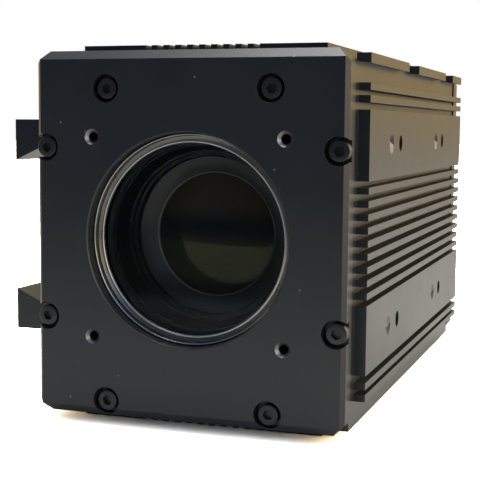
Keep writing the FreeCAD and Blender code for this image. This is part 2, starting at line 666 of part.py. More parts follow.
def lens_barrel():
    """The fixed front barrel with its flange, stepped mouth, lens cell and front bulkhead."""
    body = turned("lens_barrel", [
        ("hood_radius", "shelf_end"), ("spigot_radius", "shelf_end"),
        ("spigot_radius", "shelf_end + barrel_flange"), ("barrel_radius", "shelf_end + barrel_flange"),
        ("barrel_radius", "barrel_end"), ("front_glass_radius", "barrel_end"),
        ("front_glass_radius", "front_glass_edge + front_glass_length"),
        ("cell_radius", "front_glass_edge + front_glass_length"), ("cell_radius", "cell_start"),
        ("hood_throat - hood_ledge", "cell_start"), ("hood_throat - hood_ledge", "hood_step"),
        ("hood_throat", "hood_step")])
    flange = sketch(body, "flange_holes", start="shelf_end")
    holes = lens_screw_circles(flange, "lens_shank_radius + running_gap")
    pocket(body, holes, "barrel_flange")
    pad(body, bulkhead(sketch(body, "front_bulkhead", start=BULKHEAD_START)), "bulkhead_thickness")
    pocket(body, circle(sketch(body, "light_path", start="front_glass_edge + front_glass_length"), "0", "0",
                        "front_glass_radius"), "barrel_end")
    ends = sketch(body, "rod_seats", start="barrel_end")
    for side in ("", "-"):
        circle(ends, side + GUIDE, "0", "guide_radius")
        circle(ends, side + "lead_offset", "-" + LEAD_DROP, "lead_radius + running_gap")
    pocket(body, ends, "rod_seat", reverse=True)
    base_screw_holes(body, "front_base_threads", BASE_ROWS[:1], "-" + BASE_TOP, "lens_shank_radius",
                     "base_grip")


def bulkhead(made):
    """Adds the rectangle that both lens bulkheads share."""
    return box(made, "-" + BULKHEAD_HALF, BULKHEAD_HALF, "-" + BASE_TOP, BULKHEAD_TOP)


def base_screw_holes(body, name, rows, level, radius, depth):
    """Cuts the lens base's screw holes upwards from one level."""
    holes = sketch(body, name, "XY_Plane", start=level)
    for along in rows:
        for side in ("", "-"):
            circle(holes, side + BASE_SCREW, along, radius)
    pocket(body, holes, depth, reverse=True)


def glass(label, radius, front, thickness, curve):
    """A lens with a bulging front and a flat rear: a cylinder kept inside a sphere, bound to the sheet."""
    disc = doc.addObject("Part::Cylinder", label + "_disc")
    disc.setExpression("Radius", sized(radius))
    disc.setExpression("Height", sized(thickness))
    disc.Placement.Rotation = FreeCAD.Rotation(V(1, 0, 0), -90)
    disc.setExpression("Placement.Base.y", sized(front))
    ball = doc.addObject("Part::Sphere", label + "_ball")
    ball.setExpression("Radius", sized(curve))
    ball.setExpression("Placement.Base.y", sized(f"{front} + {curve}"))
    lens = doc.addObject("Part::MultiCommon", "Glass_" + label)
    lens.Shapes = [disc, ball]
    return node(lens, label)


def front_glass():
    """The front lens and the ring that holds it in the barrel."""
    turned("front_lens_ring", [
        ("front_ring_mouth", "front_ring_start + front_ring_dish"),
        ("cell_radius - thread_play", "front_ring_start"),
        ("cell_radius - thread_play", "front_glass_edge"), ("front_glass_radius", "front_glass_edge")])
    sag = "(front_glass_sphere - sqrt(front_glass_sphere ^ 2 - front_glass_radius ^ 2))"
    glass("front_lens", "cell_radius - thread_play", f"front_glass_edge - {sag}",
          f"front_glass_length + {sag}", "front_glass_sphere")


def carriage(label, front, lead):
    """A moving lens carrier: cell, two guide bosses and a nut boss on its own lead screw."""
    body = new_body(label)
    disc = circle(sketch(body, label + "_cell", start=front), "0", "0", "cell_outer")
    pad(body, disc, "carrier_length")
    arms = sketch(body, label + "_arms", start=front)
    box(arms, "-" + GUIDE, GUIDE, "-arm_half", "arm_half")
    pad(body, arms, "carrier_length")
    bosses = sketch(body, label + "_bosses", start=front)
    for side in ("", "-"):
        circle(bosses, side + GUIDE, "0", "boss_radius")
    pad(body, bosses, "carrier_length")
    stem = sketch(body, label + "_stem", start=front)
    box(stem, f"{lead}lead_offset - arm_half", f"{lead}lead_offset + arm_half", "-" + LEAD_DROP, "0")
    pad(body, stem, "carrier_length")
    nut = sketch(body, label + "_nut", start=front)
    circle(nut, lead + "lead_offset", "-" + LEAD_DROP, "boss_radius")
    pad(body, nut, "carrier_length")
    holes = sketch(body, label + "_holes", start=front)
    circle(holes, "0", "0", "cell_inner")
    for side in ("", "-"):
        circle(holes, side + GUIDE, "0", "guide_radius + running_gap")
    circle(holes, lead + "lead_offset", "-" + LEAD_DROP, "lead_radius + running_gap")
    pocket(body, holes, "carrier_length")


def zoom_and_focus():
    """The moving groups with their guide rods, lead screws and motors."""
    inset = "(carrier_length - moving_glass_length) / 2"
    for label, front, side in (("zoom", ZOOM_START, ""), ("focus", FOCUS_START, "-")):
        carriage(label + "_carrier", front, side)
        glass(label + "_lens", "cell_inner", f"{front} + {inset}", "moving_glass_length",
              "moving_glass_curve")
        spot = side + "lead_offset"
        rod(label + "_lead_screw", "lead_radius", "barrel_end - rod_seat + running_gap",
            f"{REAR_END} - running_gap", spot, "-" + LEAD_DROP)
        rod(label + "_motor", "motor_radius", REAR_END, f"{REAR_END} + motor_length", spot, "-" + LEAD_DROP)
    for label, side in (("right_guide_rod", ""), ("left_guide_rod", "-")):
        rod(label, "guide_radius", "barrel_end - rod_seat", REAR_END, across=side + GUIDE)


def rear_optics():
    """The rear bulkhead with the relay tube, the relay lens, the iris and the lens base."""
    body = new_body("rear_bulkhead")
    pad(body, bulkhead(sketch(body, "rear_plate", start=REAR_START)), "bulkhead_thickness")
    pad(body, circle(sketch(body, "relay_tube", start=REAR_END), "0", "0", "relay_radius"), "relay_length")
    holes = sketch(body, "rear_holes", start=REAR_START)
    for side in ("", "-"):
        circle(holes, side + GUIDE, "0", "guide_radius")
        circle(holes, side + "lead_offset", "-" + LEAD_DROP, "lead_radius + running_gap")
    pocket(body, holes, "bulkhead_thickness")
    bore = circle(sketch(body, "relay_bore", start=REAR_START), "0", "0", "relay_bore")
    pocket(body, bore, "bulkhead_thickness + relay_length")
    base_screw_holes(body, "rear_base_threads", BASE_ROWS[1:], "-" + BASE_TOP, "lens_shank_radius",
                     "base_grip")
    glass("relay_lens", "relay_bore", REAR_END, "relay_glass_length", "moving_glass_curve")
    iris = f"{REAR_END} + relay_glass_length + iris_gap"
    tube("iris_ring", "relay_bore / 2", "relay_bore", iris, f"{iris} + iris_thickness")
    base = new_body("lens_base")
    under = f"-{BASE_TOP} - base_thickness"
    plate = sketch(base, "base_plate", start=BULKHEAD_START)
    box(plate, "-" + BULKHEAD_HALF, BULKHEAD_HALF, under, "-" + BASE_TOP)
    pad(base, plate, f"{REAR_END} - {BULKHEAD_START}")
    base_screw_holes(base, "base_recesses", BASE_ROWS, under, "lens_head_radius + running_gap",
                     "lens_head_height")
    base_screw_holes(base, "base_holes", BASE_ROWS, under, "lens_shank_radius + running_gap",
                     "base_thickness")


def board(label, front, half, low, high, thickness="board_thickness"):
    """A flat rectangular piece across the lens axis."""
    body = new_body(label)
    pad(body, box(sketch(body, label + "_face", start=front), f"-({half})", half, low, high), thickness)


def pillars(label, front, back, spots):
    """Separate hexagonal pillars between two boards."""
    item = doc.addObject("Part::Feature", "Pillars_" + label)
    solids = []
    for x, z in spots:
        solid = hexagon(size("pillar_flats"), size(f"{back} - ({front})"))
        solid.translate(V(x, size(front), z))
        solids.append(solid)
    item.Shape = Part.makeCompound(solids)
    return node(item, label)


def electronics():
    """The image sensor, the boards, their pillars and main chips."""
    front = f"{REAR_END} + sensor_board_gap"
    board("sensor_board", front, "sensor_board_width / 2", "-sensor_board_low", "sensor_board_high")
    board("image_sensor", f"{front} - sensor_thickness", "sensor_size / 2", "-sensor_size / 2",
          "sensor_size / 2", "sensor_thickness")
    board("power_board", POWER_START, BOARD_SIDE, "-" + BOARD_HALF, BOARD_HALF)
    board("main_board", MAIN_START, BOARD_SIDE, "-" + BOARD_HALF, BOARD_HALF)
    board("processor", f"{MAIN_START} - chip_thickness", "chip_size / 2", "-chip_size / 2", "chip_size / 2",
          "chip_thickness")
    foot = f"-{BOARD_HALF} + module_edge"
    board("power_converter", f"{POWER_START} - module_height", "module_length / 2", foot,
          f"{foot} + module_width", "module_height")
    x = size("sensor_board_width / 2 - pillar_edge")
    heights = (size("sensor_board_high - pillar_edge"), size("pillar_edge - sensor_board_low"))
    pillars("sensor_pillars", REAR_END, front, [(side * x, z) for side in (1, -1) for z in heights])
    x, z = size(f"{BOARD_SIDE} - pillar_edge"), size(f"{BOARD_HALF} - pillar_edge")
    corners = [(side * x, end * z) for side in (1, -1) for end in (1, -1)]
    pillars("cover_pillars", "housing_end - power_gap", "housing_end", corners)
    pillars("board_pillars", f"{MAIN_START} + board_thickness", POWER_START, corners)


def connectors():
    """Two round panel connectors in the rear cover, each with its nut and contact pins."""
    end = f"{COVER_REAR} + connector_length"
    floor = f"{end} - connector_recess"
    for label, side in (("power_connector", ""), ("video_connector", "-")):
        across = side + "connector_side"
        turned(label, [
            ("0", "housing_end"), ("connector_bore", "housing_end"), ("connector_bore", COVER_REAR),
            ("connector_nut", COVER_REAR), ("connector_nut", f"{COVER_REAR} + connector_flange"),
            ("connector_radius", f"{COVER_REAR} + connector_flange"), ("connector_radius", end),
            ("connector_mouth", end), ("connector_mouth", floor), ("0", floor)], across, "-connector_drop")
        pins = new_body(label.replace("connector", "contacts"))
        disc = sketch(pins, label + "_insert", start=floor)
        circle(disc, across, "-connector_drop", "connector_mouth - insert_play")
        pad(pins, disc, "insert_thickness")
        ring = sketch(pins, label + "_pins", start=floor)
        for index in range(int(size("pin_count"))):
            angle = f"{index} * 360deg / pin_count"
            circle(ring, f"{across} + pin_circle * cos({angle})",
                   f"-connector_drop + pin_circle * sin({angle})", "pin_radius")
        pad(pins, ring, "connector_recess / 2")


front_plate()
housing()
seals()
rear_cover()
rails()
window()
lens_barrel()
front_glass()
zoom_and_focus()
rear_optics()
electronics()
connectors()
fasteners()
doc.recompute()

for item in doc.Objects:
    if "Invalid" in item.State or "Error" in item.State:
        raise RuntimeError(f"{item.Label} failed: {item.State}")
for item in nodes:
    if item.Shape.isNull() or not item.Shape.isValid():
        raise RuntimeError(f"{item.Label} has no valid shape")

os.makedirs("parts", exist_ok=True)
for item in nodes:
    item.Shape.exportStep(f"parts/{item.Label}.step")
    print(f"{item.Label:26s} solids {len(item.Shape.Solids):2d} volume {item.Shape.Volume:10.1f}")
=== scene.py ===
"""Looks for a daylight camera in a finned black housing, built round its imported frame.

Lengths are in metres in the row's frame: X to the right, Y back along the lens axis, Z up from
the lands that the housing stands on. Sizes of pieces are in millimetres, and say so.
"""

import json
import logging
import math
from dataclasses import dataclass, field
from enum import Enum

import bmesh
import bpy
from mathutils import Matrix, Vector


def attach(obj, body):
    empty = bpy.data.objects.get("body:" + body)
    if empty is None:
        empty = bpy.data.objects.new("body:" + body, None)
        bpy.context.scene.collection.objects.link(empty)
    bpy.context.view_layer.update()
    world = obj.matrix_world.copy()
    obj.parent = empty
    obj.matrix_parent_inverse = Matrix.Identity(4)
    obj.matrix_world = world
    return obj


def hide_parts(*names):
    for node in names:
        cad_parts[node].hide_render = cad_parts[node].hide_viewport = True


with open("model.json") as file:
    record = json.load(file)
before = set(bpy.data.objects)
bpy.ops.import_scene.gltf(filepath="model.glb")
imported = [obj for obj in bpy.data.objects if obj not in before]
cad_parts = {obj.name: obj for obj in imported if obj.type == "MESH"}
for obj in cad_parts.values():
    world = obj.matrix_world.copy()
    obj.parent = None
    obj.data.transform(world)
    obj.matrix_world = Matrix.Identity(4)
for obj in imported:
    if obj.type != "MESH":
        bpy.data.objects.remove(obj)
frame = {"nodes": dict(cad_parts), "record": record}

LOG = logging.getLogger("daylight_camera")
MM = 0.001
AXIS_MM = 51.1
FACE_MM = -87.85
AXIS_HEIGHT = AXIS_MM * MM
FACE = FACE_MM * MM
SIDE = 45.55 * MM
ROOT = "camera"

Triple = tuple[float, float, float]
Colour = Triple
Profile = list[tuple[float, float]]
Corners = tuple[tuple[float, float], ...]
Socket = bpy.types.NodeSocket

# The tapped holes whose countersinks are worn bare: their places, then the reach of the wear.
FRONT_HOLE = 26.6 * MM
SIDE_HOLE_HEIGHT = 23.875 * MM
SIDE_HOLES = (-49.05 * MM, 23.15 * MM)
FRONT_WEAR = 2.05 * MM
FRONT_WEAR_DEPTH = 1.2 * MM
SIDE_WEAR = 2.78 * MM
SIDE_WEAR_DEPTH = 1.6 * MM
SKIN = 0.02 * MM

DUST: Colour = (0.16, 0.17, 0.18)
BARE_METAL: Colour = (0.2, 0.2, 0.2)
# A pale line painted round a turned ring's edge as a highlight, and its half width.
PAINTED_EDGE_HIGHLIGHT: Colour = (0.12, 0.12, 0.12)
PAINTED_HIGHLIGHT_HALF = 0.14 * MM
GRAIN_DEPTH = 0.0002
TURNING_DEPTH = 0.00005
TURNING_SCALE = 2600.0

# How far from its middle a dust speck starts and is full, as shares of a cell.
SPECK_EDGE = 0.16
SPECK_CORE = 0.05

# How close two heights on a screw count as one, in millimetres, and the corners of a side face.
NEAR = 1e-4
SIDE_CORNERS = 4

FLOOR_WHITE: Colour = (0.72, 0.71, 0.69)
FLOOR_DARK: Colour = (0.16, 0.16, 0.15)
FLOOR_SEEN: Colour = (1.0, 0.95, 0.88)

# The room's tones along one direction each, from -1 at 0 to 1 at 1. They are multiplied.
DEPTH_TONES = [
    (0.0, (0.075, 0.09, 0.11)), (0.27, (0.13, 0.15, 0.17)), (0.45, (0.32, 0.32, 0.31)),
    (0.7, (0.58, 0.45, 0.28)), (1.0, (1.1, 0.68, 0.25))]
ACROSS_TONES = [
    (0.0, (4.2, 3.5, 2.4)), (0.09, (1.3, 1.15, 0.9)), (0.2, (0.75, 0.85, 1.0)), (0.32, (0.7, 1.15, 1.8)),
    (0.45, (0.6, 0.62, 0.64)), (0.6, (0.64, 0.64, 0.64)), (0.8, (3.0, 3.8, 4.8)),
    (0.88, (2.6, 2.9, 3.3)), (0.95, (4.2, 3.2, 1.9)), (1.0, (5.0, 3.7, 2.1))]
RAISED_TONES = [
    (0.0, (0.8, 0.8, 0.8)), (0.5, (0.75, 0.75, 0.75)), (0.56, (1.05, 1.03, 1.0)),
    (0.72, (1.2, 1.26, 1.35)), (1.0, (1.3, 1.35, 1.4))]


class Place(Enum):
    """Which way a screw's head points."""

    FRONT = "front"
    REAR = "rear"
    LEFT = "left"


def shade(colour: Colour, gain: float) -> Colour:
    """Darkens or lightens a colour.

    Args:
        colour: The colour.
        gain: What each part is multiplied by, up to 1.

    Returns:
        The new colour.
    """
    red, green, blue = (min(1.0, gain * part) for part in colour)
    return red, green, blue


@dataclass(frozen=True)
class Shader:
    """A material under construction, with short ways to add and join its nodes.

    Attributes:
        material: The Blender material.
        bsdf: Its Principled BSDF.
    """

    material: bpy.types.Material
    bsdf: bpy.types.Node

    @classmethod
    def start(cls, name: str) -> "Shader":
        """Makes a material with a Principled BSDF wired to its output.

        Args:
            name: The material's name.

        Returns:
            The new shader.
        """
        material = bpy.data.materials.new(name)
        material.use_nodes = True
        return cls(material, material.node_tree.nodes["Principled BSDF"])

    def add(self, kind: str, **values: object) -> bpy.types.Node:
        """Adds a node and sets its attributes and inputs.

        Args:
            kind: The node's type.
            values: Attributes by name, or inputs by name with underscores for spaces.

        Returns:
            The new node.
        """
        node = self.material.node_tree.nodes.new(kind)
        for key, value in values.items():
            if hasattr(node, key):
                setattr(node, key, value)
            else:
                node.inputs[key.replace("_", " ")].default_value = value
        return node

    def join(self, source: Socket, target: Socket) -> None:
        """Links two sockets.

        Args:
            source: The output.
            target: The input.
        """
        self.material.node_tree.links.new(source, target)

    def set(self, **values: object) -> None:
        """Sets inputs of the Principled BSDF.

        Args:
            values: Inputs by name with underscores for spaces.
        """
        for key, value in values.items():
            self.bsdf.inputs[key.replace("_", " ")].default_value = value

    def feed(self, source: Socket, name: str) -> None:
        """Links an output to an input of the Principled BSDF.

        Args:
            source: The output.
            name: The input's name.
        """
        self.join(source, self.bsdf.inputs[name])

    def group(self, tree: bpy.types.NodeTree, place: Socket, **values: float) -> bpy.types.Node:
        """Places a node group and sets its inputs.

        Args:
            tree: The group.
            place: The coordinates for its Place input.
            values: Inputs by name with underscores for spaces.

        Returns:
            The group's node.
        """
        node = self.material.node_tree.nodes.new("ShaderNodeGroup")
        node.node_tree = tree
        self.join(place, node.inputs["Place"])
        for key, value in values.items():
            node.inputs[key.replace("_", " ")].default_value = value
        return node

    def coordinates(self) -> Socket:
        """Adds the Object coordinates.

        Returns:
            Their output.
        """
        return self.add("ShaderNodeTexCoord").outputs["Object"]

    def mix(self, factor: Socket, first: Socket | Colour, second: Socket | Colour) -> Socket:
        """Mixes two colours.

        Args:
            factor: The share of the second.
            first: The first colour, or the output that gives it.
            second: The second colour, or the output that gives it.

        Returns:
            The mixed colour's output.
        """
        node = self.add("ShaderNodeMix", data_type="RGBA")
        self.join(factor, node.inputs["Factor"])
        for name, colour in (("A", first), ("B", second)):
            if isinstance(colour, tuple):
                node.inputs[name].default_value = (*colour, 1.0)
            else:
                self.join(colour, node.inputs[name])
        return node.outputs["Result"]

    def span(self, source: Socket, **limits: object) -> Socket:
        """Maps a number to another range.

        Args:
            source: The number.
            limits: Attributes and inputs of the Map Range node.

        Returns:
            The mapped number's output.
        """
        node = self.add("ShaderNodeMapRange", **limits)
        self.join(source, node.inputs["Value"])
        return node.outputs["Result"]

    def times(self, first: Socket, second: Socket) -> Socket:
        """Multiplies two numbers.

        Args:
            first: One number.
            second: The other.

        Returns:
            The product's output.
        """
        node = self.add("ShaderNodeMath", operation="MULTIPLY")
        self.join(first, node.inputs[0])
        self.join(second, node.inputs[1])
        return node.outputs["Value"]

    def roughen(self, source: Socket, low: float, high: float) -> None:
        """Varies the roughness.

        Args:
            source: A number from 0 to 1.
            low: The roughness at 0.
            high: The roughness at 1.
        """
        self.feed(self.span(source, To_Min=low, To_Max=high), "Roughness")

    def emboss(self, height: Socket, strength: float, depth: float, normal: Socket | None = None) -> None:
        """Bumps the surface.

        Args:
            height: The height.
            strength: The strength of the bump.
            depth: Its depth in metres.
            normal: The normal under the bump, where it isn't the surface's own.
        """
        node = self.add("ShaderNodeBump", Strength=strength, Distance=depth)
        self.join(height, node.inputs["Height"])
        if normal is not None:
            self.join(normal, node.inputs["Normal"])
        self.feed(node.outputs["Normal"], "Normal")


def start_group(name: str, inputs: dict[str, float], outputs: list[str]) -> bpy.types.NodeTree:
    """Makes an empty shader node group with its sockets.

    Args:
        name: The group's name.
        inputs: Number inputs with their defaults; a Vector input named Place is always added.
        outputs: The names of its number outputs.

    Returns:
        The group.
    """
    tree = bpy.data.node_groups.new(name, "ShaderNodeTree")
    tree.interface.new_socket("Place", in_out="INPUT", socket_type="NodeSocketVector")
    for key, value in inputs.items():
        socket = tree.interface.new_socket(key, in_out="INPUT", socket_type="NodeSocketFloat")
        socket.default_value = value
    for key in outputs:
        tree.interface.new_socket(key, in_out="OUTPUT", socket_type="NodeSocketFloat")
    return tree


def anodised_grain() -> bpy.types.NodeTree:
    """Makes the mottle, dust specks and brushed grain of an anodised surface.

    Returns:
        A group that puts out Mottle, Specks and Height from Object coordinates.
    """
    tree = start_group(
        "anodised_grain",
        {"Mottle Scale": 60.0, "Speck Scale": 420.0, "Speck Amount": 0.5, "Grain Scale": 900.0},
        ["Mottle", "Specks", "Height"])
    nodes, links = tree.nodes, tree.links
    entry, leave = nodes.new("NodeGroupInput"), nodes.new("NodeGroupOutput")
    for scale, detail, target in (("Mottle Scale", 5.0, "Mottle"), ("Grain Scale", 3.0, "Height")):
        noise = nodes.new("ShaderNodeTexNoise")
        noise.inputs["Detail"].default_value = detail
        links.new(entry.outputs["Place"], noise.inputs["Vector"])
        links.new(entry.outputs[scale], noise.inputs["Scale"])
        links.new(noise.outputs["Fac"], leave.inputs[target])
    cells = nodes.new("ShaderNodeTexVoronoi")
    links.new(entry.outputs["Place"], cells.inputs["Vector"])
    links.new(entry.outputs["Speck Scale"], cells.inputs["Scale"])
    near = nodes.new("ShaderNodeMapRange")
    near.inputs["From Min"].default_value = SPECK_EDGE
    near.inputs["From Max"].default_value = SPECK_CORE
    links.new(cells.outputs["Distance"], near.inputs["Value"])
    chance = nodes.new("ShaderNodeSeparateColor")
    links.new(cells.outputs["Color"], chance.inputs["Color"])
    rare = nodes.new("ShaderNodeMath")
    rare.operation = "LESS_THAN"
    links.new(chance.outputs["Red"], rare.inputs[0])
    links.new(entry.outputs["Speck Amount"], rare.inputs[1])
    specks = nodes.new("ShaderNodeMath")
    specks.operation = "MULTIPLY"
    links.new(near.outputs["Result"], specks.inputs[0])
    links.new(rare.outputs["Value"], specks.inputs[1])
    links.new(specks.outputs["Value"], leave.inputs["Specks"])
    return tree


def worn_rims() -> bpy.types.NodeTree:
    """Marks where the countersinks of the tapped holes in the front and the right side are bare.

    Returns:
        A group that puts out Worn, 1 on a countersink, from Object coordinates.
    """
    tree = start_group("worn_rims", {}, ["Worn"])
    nodes, links = tree.nodes, tree.links
    entry, leave = nodes.new("NodeGroupInput"), nodes.new("NodeGroupOutput")

    def sums(operation: str, first: Socket, second: Socket | float = 0.0) -> Socket:
        """Adds a Math node.

        Args:
            operation: What it does.
            first: Its first number.
            second: Its second number.

        Returns:
            Its result.
        """
        node = nodes.new("ShaderNodeMath")
        node.operation = operation
        links.new(first, node.inputs[0])
        if isinstance(second, float):
            node.inputs[1].default_value = second
        else:
            links.new(second, node.inputs[1])
        return node.outputs["Value"]

    def disc(beside: Socket, above: Socket, radius: float) -> Socket:
        """Marks a round area.

        Args:
            beside: One offset from its middle.
            above: The offset across that.
            radius: Its radius.

        Returns:
            A number that is 1 inside.
        """
        far = sums("SQRT", sums("ADD", sums("POWER", beside, 2.0), sums("POWER", above, 2.0)))
        return sums("LESS_THAN", far, radius)

    parts = nodes.new("ShaderNodeSeparateXYZ")
    links.new(entry.outputs["Place"], parts.inputs["Vector"])
    across, depth, up = parts.outputs["X"], parts.outputs["Y"], parts.outputs["Z"]
    height = sums("ABSOLUTE", sums("SUBTRACT", up, AXIS_HEIGHT))
    beside = sums("SUBTRACT", sums("ABSOLUTE", across), FRONT_HOLE)
    front = disc(beside, sums("SUBTRACT", height, FRONT_HOLE), FRONT_WEAR)
    front = sums("MULTIPLY", front, sums("GREATER_THAN", depth, FACE + SKIN))
    wear_and_highlight = sums("MULTIPLY", front, sums("LESS_THAN", depth, FACE + FRONT_WEAR_DEPTH))
    above = sums("SUBTRACT", height, SIDE_HOLE_HEIGHT)
    for along in SIDE_HOLES:
        side = disc(sums("SUBTRACT", depth, along), above, SIDE_WEAR)
        side = sums("MULTIPLY", side, sums("LESS_THAN", across, SIDE - SKIN))
        side = sums("MULTIPLY", side, sums("GREATER_THAN", across, SIDE - SIDE_WEAR_DEPTH))
        wear_and_highlight = sums("ADD", wear_and_highlight, side)
    links.new(wear_and_highlight, leave.inputs["Worn"])
    return tree


@dataclass(frozen=True)
class Anodised:
    """Satin black anodised metal.

    Attributes:
        name: The material's name.
        dark: The colour in the darker mottle.
        light: The colour in the lighter mottle.
        roughness: The mean roughness.
        specks: The share of grain cells that hold a pale dust speck.
        edge: The width of the softened edges in metres.
        bump: The strength of the grain.
        rims: Whether the countersinks of the tapped holes are worn bare.
        play: How far the roughness varies to either side.
    """

    name: str
    dark: Colour
    light: Colour
    roughness: float
    specks: float
    edge: float
    bump: float = 0.05
    rims: bool = False
    play: float = 0.05

    def make(self, grain: bpy.types.NodeTree) -> bpy.types.Material:
        """Builds the material.

        Args:
            grain: The shared grain group.

        Returns:
            The material.
        """
        made = Shader.start(self.name)
        made.set(IOR=1.5)
        place = made.coordinates()
        pattern = made.group(grain, place, Speck_Amount=self.specks)
        mottle = pattern.outputs["Mottle"]
        top = made.mix(pattern.outputs["Specks"], made.mix(mottle, self.dark, self.light), DUST)
        if self.rims:
            wear_and_highlight = made.group(worn_rims(), place).outputs["Worn"]
            top = made.mix(wear_and_highlight, top, BARE_METAL)
            made.feed(wear_and_highlight, "Metallic")
        made.feed(top, "Base Color")
        made.roughen(mottle, self.roughness - self.play, self.roughness + self.play)
        soft = made.add("ShaderNodeBevel", samples=4, Radius=self.edge)
        made.emboss(pattern.outputs["Height"], self.bump, GRAIN_DEPTH, soft.outputs["Normal"])
        return made.material


@dataclass(frozen=True)
class Turned:
    """Turned or ground metal with fine rings round an axis along Y.

    Attributes:
        name: The material's name.
        colour: The metal's colour.
        metallic: 1 for bare metal, 0 for a painted or anodised one.
        roughness: The roughness about which it varies.
        ripple: The strength of the turning marks.
        centre: The axis in X and Z.
        specular: The strength of the reflection of what isn't metallic.
        line: Radius in millimetres of an edge where a pale highlight line is painted, or 0.
        spread: How far the mottle darkens and lightens the colour.
        smoother: How far the roughness falls below its mean.
        rougher: How far it rises above it.
    """

    name: str
    colour: Colour
    metallic: float
    roughness: float
    ripple: float
    centre: tuple[float, float] = (0.0, AXIS_HEIGHT)
    specular: float = 0.5
    line: float = 0.0
    spread: float = 0.15
    smoother: float = 0.04
    rougher: float = 0.06

    def make(self, grain: bpy.types.NodeTree) -> bpy.types.Material:
        """Builds the material.

        Args:
            grain: The shared grain group.

        Returns:
            The material.
        """
        made = Shader.start(self.name)
        made.set(Metallic=self.metallic, Specular_IOR_Level=self.specular)
        middle = made.add("ShaderNodeMapping")
        middle.inputs["Location"].default_value = (-self.centre[0], 0.0, -self.centre[1])
        made.join(made.coordinates(), middle.inputs["Vector"])
        place = middle.outputs["Vector"]
        rings = made.add("ShaderNodeTexWave", wave_type="RINGS", rings_direction="Y", Scale=TURNING_SCALE,
                         Distortion=0.4)
        made.join(place, rings.inputs["Vector"])
        mottle = made.group(grain, place, Mottle_Scale=140.0).outputs["Mottle"]
        top = made.mix(mottle, shade(self.colour, 1.0 - self.spread), shade(self.colour, 1.0 + self.spread))
        if self.line:
            # Painted highlight: a pale line is painted round the ring at the given radius.
            top = made.mix(self.mark_painted_highlight(made, place), top, PAINTED_EDGE_HIGHLIGHT)
        made.feed(top, "Base Color")
        made.roughen(mottle, self.roughness - self.smoother, self.roughness + self.rougher)
        made.emboss(rings.outputs["Color"], self.ripple, TURNING_DEPTH)
        return made.material

    def mark_painted_highlight(self, made: Shader, place: Socket) -> Socket:
        """Marks the edge where the pale highlight line is painted.

        Args:
            made: The material under construction.
            place: The coordinates about the axis.

        Returns:
            A number that is 1 on the edge.
        """
        flat = made.add("ShaderNodeVectorMath", operation="MULTIPLY")
        made.join(place, flat.inputs[0])
        flat.inputs[1].default_value = (1.0, 0.0, 1.0)
        out = made.add("ShaderNodeVectorMath", operation="LENGTH")
        made.join(flat.outputs["Vector"], out.inputs[0])
        wear_and_highlight = made.add("ShaderNodeMath", operation="COMPARE")
        made.join(out.outputs["Value"], wear_and_highlight.inputs[0])
        wear_and_highlight.inputs[1].default_value = self.line * MM
        wear_and_highlight.inputs[2].default_value = PAINTED_HIGHLIGHT_HALF
        return wear_and_highlight.outputs["Value"]


@dataclass(frozen=True)
class Moulded:
    """Moulded rubber, plastic or a coated board.

    Attributes:
        name: The material's name.
        colour: The base colour.
        roughness: The mean roughness.
        scale: The scale of the surface's mottle.
        play: How far the roughness varies to either side.
        spread: How far the mottle darkens and lightens the colour.
        bump: The strength of the grain.
    """

    name: str
    colour: Colour
    roughness: float
    scale: float = 300.0
    play: float = 0.06
    spread: float = 0.3
    bump: float = 0.08

    def make(self, grain: bpy.types.NodeTree) -> bpy.types.Material:
        """Builds the material.

        Args:
            grain: The shared grain group.

        Returns:
            The material.
        """
        made = Shader.start(self.name)
        pattern = made.group(grain, made.coordinates(), Mottle_Scale=self.scale)
        mottle = pattern.outputs["Mottle"]
        top = made.mix(mottle, shade(self.colour, 1.0 - self.spread), shade(self.colour, 1.0 + self.spread))
        made.feed(top, "Base Color")
        made.roughen(mottle, self.roughness - self.play, self.roughness + self.play)
        made.emboss(pattern.outputs["Height"], self.bump, GRAIN_DEPTH)
        return made.material


@dataclass(frozen=True)
class ClearGlass:
    """Coated window glass, polished but for a faint haze.

    Attributes:
        name: The material's name.
        index: The index of refraction, low because the coating takes the reflection away.
        tint: The colour of its reflection.
        body: The colour of what shows through.
        haze: The greatest roughness.
    """

    name: str = "window_glass_clear"
    index: float = 1.16
    tint: Colour = (0.78, 0.92, 1.0)
    body: Colour = (0.97, 0.985, 0.98)
    haze: float = 0.02

    def make(self, grain: bpy.types.NodeTree) -> bpy.types.Material:
        """Builds the material.

        Args:
            grain: The shared grain group.

        Returns:
            The material.
        """
        made = Shader.start(self.name)
        made.set(IOR=self.index, Specular_Tint=(*self.tint, 1.0), Transmission_Weight=1.0,
                 Base_Color=(*self.body, 1.0))
        pattern = made.group(grain, made.coordinates(), Mottle_Scale=200.0)
        made.roughen(pattern.outputs["Mottle"], 0.0, self.haze)
        return made.material


